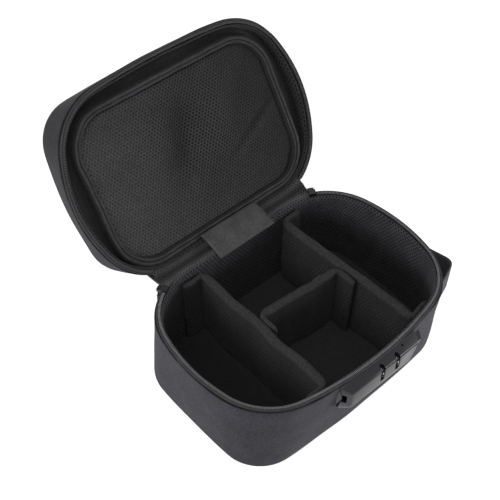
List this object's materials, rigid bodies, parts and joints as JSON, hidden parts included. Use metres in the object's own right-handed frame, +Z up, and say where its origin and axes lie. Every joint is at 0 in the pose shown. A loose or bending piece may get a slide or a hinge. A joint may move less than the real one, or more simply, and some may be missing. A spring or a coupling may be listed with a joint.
{
  "type": "portable car safe",
  "caption": "Soft padded lockable case, shown open, with a zipped lid, a dial lock that takes the zip pulls, a grab loop and lift-out dividers.",
  "frame": {"origin": "on the table under the middle of the base", "axes": "+X along the hinge to the right as seen from the lock side, +Y from the lock to the hinge, +Z up"},
  "size_m": [0.2629, 0.3202, 0.2375],
  "materials": {
    "outer_cloth": "fine plain weave, matt with a faint sheen",
    "lining_mesh": "matt spacer mesh over foam",
    "hook_tape": "matt hook tape",
    "webbing": "matt close weave",
    "zip_tape": "matt twill tape",
    "zip_coil": "satin nylon",
    "lock_plastic": "smooth gloss",
    "dial_plastic": "satin",
    "steel": "plain zinc plated",
    "slider_metal": "satin black"
  },
  "bodies": {
    "base": {"base_shell": "outer_cloth", "base_lining": "lining_mesh", "floor_pad": "lining_mesh", "base_zip_tape": "zip_tape", "base_zip_coil": "zip_coil", "hinge_band": "outer_cloth", "hinge_lining": "lining_mesh", "fabric_flap": "webbing", "grab_loop": "webbing", "lock_housing": "lock_plastic", "lock_screw_left": "steel", "lock_screw_right": "steel", "dial_shaft": "steel", "release_spring": "steel"},
    "lid": {"lid_shell": "outer_cloth", "lid_lining": "lining_mesh", "lid_zip_tape": "zip_tape", "lid_zip_coil": "zip_coil", "lid_pad": "lining_mesh"},
    "divider_left": {"divider_left": "lining_mesh", "hook_strip_left_back": "hook_tape", "hook_strip_left_front": "hook_tape"},
    "divider_right": {"divider_right": "lining_mesh", "hook_strip_right_back": "hook_tape", "hook_strip_right_front": "hook_tape"},
    "divider_cross": {"divider_cross": "lining_mesh", "hook_strip_cross_left": "hook_tape", "hook_strip_cross_right": "hook_tape"},
    "dial_left": {"dial_left": "dial_plastic"},
    "dial_right": {"dial_right": "dial_plastic"},
    "release_button": {"release_button": "dial_plastic"},
    "slider_left": {"slider_left": "slider_metal"},
    "slider_right": {"slider_right": "slider_metal"},
    "pull_left": {"pull_left": "slider_metal"},
    "pull_right": {"pull_right": "slider_metal"}
  },
  "joints": [
    {"name": "lid_hinge", "type": "hinge", "parent": "base", "child": "lid", "pos_m": [0, 0.0879, 0.093], "axis": [-1, 0, 0], "range_deg": [-125, 55], "deforming": ["hinge_band", "hinge_lining", "fabric_flap"]},
    {"name": "divider_left_lift", "type": "slide", "parent": "base", "child": "divider_left", "axis": [0, 0, 1], "range_m": [0, 0.12]},
    {"name": "divider_right_lift", "type": "slide", "parent": "base", "child": "divider_right", "axis": [0, 0, 1], "range_m": [0, 0.12]},
    {"name": "divider_cross_lift", "type": "slide", "parent": "base", "child": "divider_cross", "axis": [0, 0, 1], "range_m": [0, 0.12]},
    {"name": "dial_left_turn", "type": "hinge", "parent": "base", "child": "dial_left", "pos_m": [-0.0018, -0.09497, 0.0785], "axis": [1, 0, 0], "continuous": true},
    {"name": "dial_right_turn", "type": "hinge", "parent": "base", "child": "dial_right", "pos_m": [0.0162, -0.09497, 0.0785], "axis": [1, 0, 0], "continuous": true},
    {"name": "release_press", "type": "slide", "parent": "base", "child": "release_button", "axis": [-1, 0, 0], "range_m": [0, 0.003], "stiffness_N_per_m": 500, "springref_m": -0.002, "deforming": ["release_spring"]},
    {"name": "slider_left_track", "type": "hinge", "parent": "base", "child": "slider_left", "pos_m": [-0.062, 0.0245, 0.092], "axis": [0, 0, 1], "range_deg": [0, 46]},
    {"name": "slider_right_track", "type": "hinge", "parent": "base", "child": "slider_right", "pos_m": [0.062, 0.0245, 0.092], "axis": [0, 0, -1], "range_deg": [0, 46]},
    {"name": "pull_left_swing", "type": "hinge", "parent": "slider_left", "child": "pull_left", "pos_m": [-0.09114, 0.08294, 0.0914], "axis": [-0.8949, -0.4462, 0], "range_deg": [-75, 0]},
    {"name": "pull_right_swing", "type": "hinge", "parent": "slider_right", "child": "pull_right", "pos_m": [0.09114, 0.08294, 0.0914], "axis": [-0.8949, 0.4462, 0], "range_deg": [-75, 0]}
  ]
}
